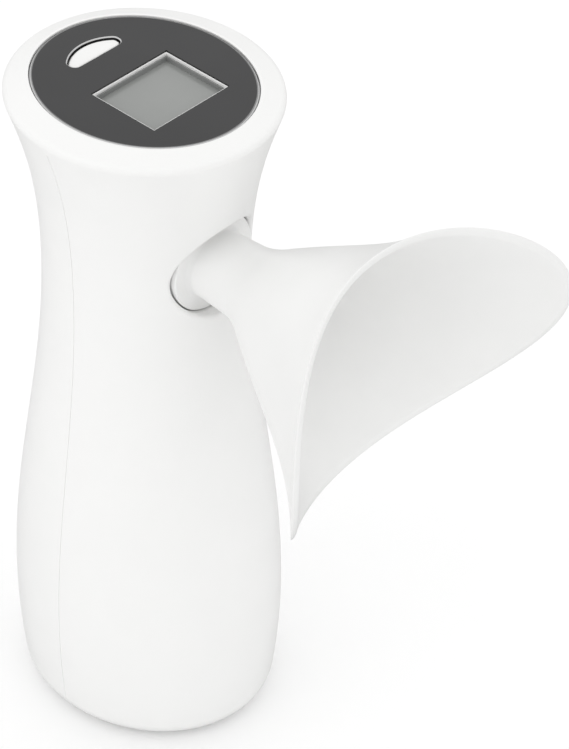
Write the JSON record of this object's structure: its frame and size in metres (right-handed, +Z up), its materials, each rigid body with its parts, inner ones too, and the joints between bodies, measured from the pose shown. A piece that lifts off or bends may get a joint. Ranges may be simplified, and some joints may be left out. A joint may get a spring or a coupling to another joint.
{
  "type": "incentive spirometer",
  "caption": "Hand-held electronic incentive spirometer with an oval flared body, top display and key, and a saddle-rimmed mouth cup on a swivelling side port.",
  "frame": {"origin": "middle of the flat foot that the object stands on", "axes": "+Z up along the body, -Y out of the port towards the user's mouth, +X to the user's right"},
  "size_m": [0.0902, 0.121, 0.175],
  "materials": {
    "shell_plastic": "fine satin moulding",
    "cup_plastic": "smooth satin moulding",
    "collar_plastic": "smooth satin moulding",
    "carrier_plastic": "moulded",
    "key_plastic": "polished",
    "panel_plastic": "polished dark sheet",
    "bezel_plastic": "moulded",
    "display_glass": "reflective liquid-crystal glass",
    "strip_rubber": "layered conductive rubber",
    "circuit_board": "solder mask",
    "chip_plastic": "moulded",
    "screw_steel": "zinc plated",
    "spring_steel": "nickel plated",
    "seal_rubber": "silicone",
    "foot_rubber": "soft moulded",
    "tube_plastic": "moulded",
    "swirler_plastic": "moulded",
    "rotor_plastic": "infrared-dark moulding",
    "bearing_brass": "turned",
    "ribbon_film": "polyimide film",
    "cell_jacket": "printed jacket over a steel can",
    "lead_insulation": "vinyl insulation"
  },
  "bodies": {
    "handset": {"front_shell": "shell_plastic", "rear_shell": "shell_plastic", "base_pad": "foot_rubber", "case_screws": "screw_steel", "display_panel": "panel_plastic", "display_carrier": "carrier_plastic", "lcd_bezel": "bezel_plastic", "lcd_glass": "display_glass", "zebra_strips": "strip_rubber", "main_board": "circuit_board", "board_chips": "chip_plastic", "board_screws": "screw_steel", "tact_switch": "chip_plastic", "port_socket": "tube_plastic", "flow_tube": "tube_plastic", "inlet_swirler": "swirler_plastic", "outlet_swirler": "swirler_plastic", "rotor_bearings": "bearing_brass", "ir_sensor": "bezel_plastic", "sensor_board": "circuit_board", "sensor_screws": "screw_steel", "sensor_ribbon": "ribbon_film", "battery_holder": "bezel_plastic", "battery_cells": "cell_jacket", "battery_contacts": "spring_steel", "battery_springs": "spring_steel", "battery_leads": "lead_insulation"},
    "swivel": {"swivel_collar": "collar_plastic", "retaining_ring": "spring_steel"},
    "cup": {"mouth_cup": "cup_plastic", "neck_o_ring": "seal_rubber"},
    "key": {"power_button": "key_plastic", "switch_plunger": "bezel_plastic"},
    "rotor": {"turbine_rotor": "rotor_plastic", "rotor_shaft": "spring_steel"},
    "door": {"battery_door": "shell_plastic"}
  },
  "joints": [
    {"name": "cup_swivel", "type": "hinge", "parent": "handset", "child": "swivel", "pos_m": [0, -0.0212, 0.1366], "axis": [0, 1, 0], "continuous": true},
    {"name": "cup_pull", "type": "slide", "parent": "swivel", "child": "cup", "axis": [0, -1, 0], "range_m": [0, 0.045]},
    {"name": "key_press", "type": "slide", "parent": "handset", "child": "key", "axis": [0, 0, -1], "range_m": [0, 0.0005], "stiffness_N_per_m": 300, "springref_m": -0.0005},
    {"name": "rotor_spin", "type": "hinge", "parent": "handset", "child": "rotor", "pos_m": [0, 0, 0.1366], "axis": [0, 1, 0], "continuous": true},
    {"name": "door_pull", "type": "slide", "parent": "handset", "child": "door", "axis": [0, 1, 0], "range_m": [0, 0.04]}
  ]
}
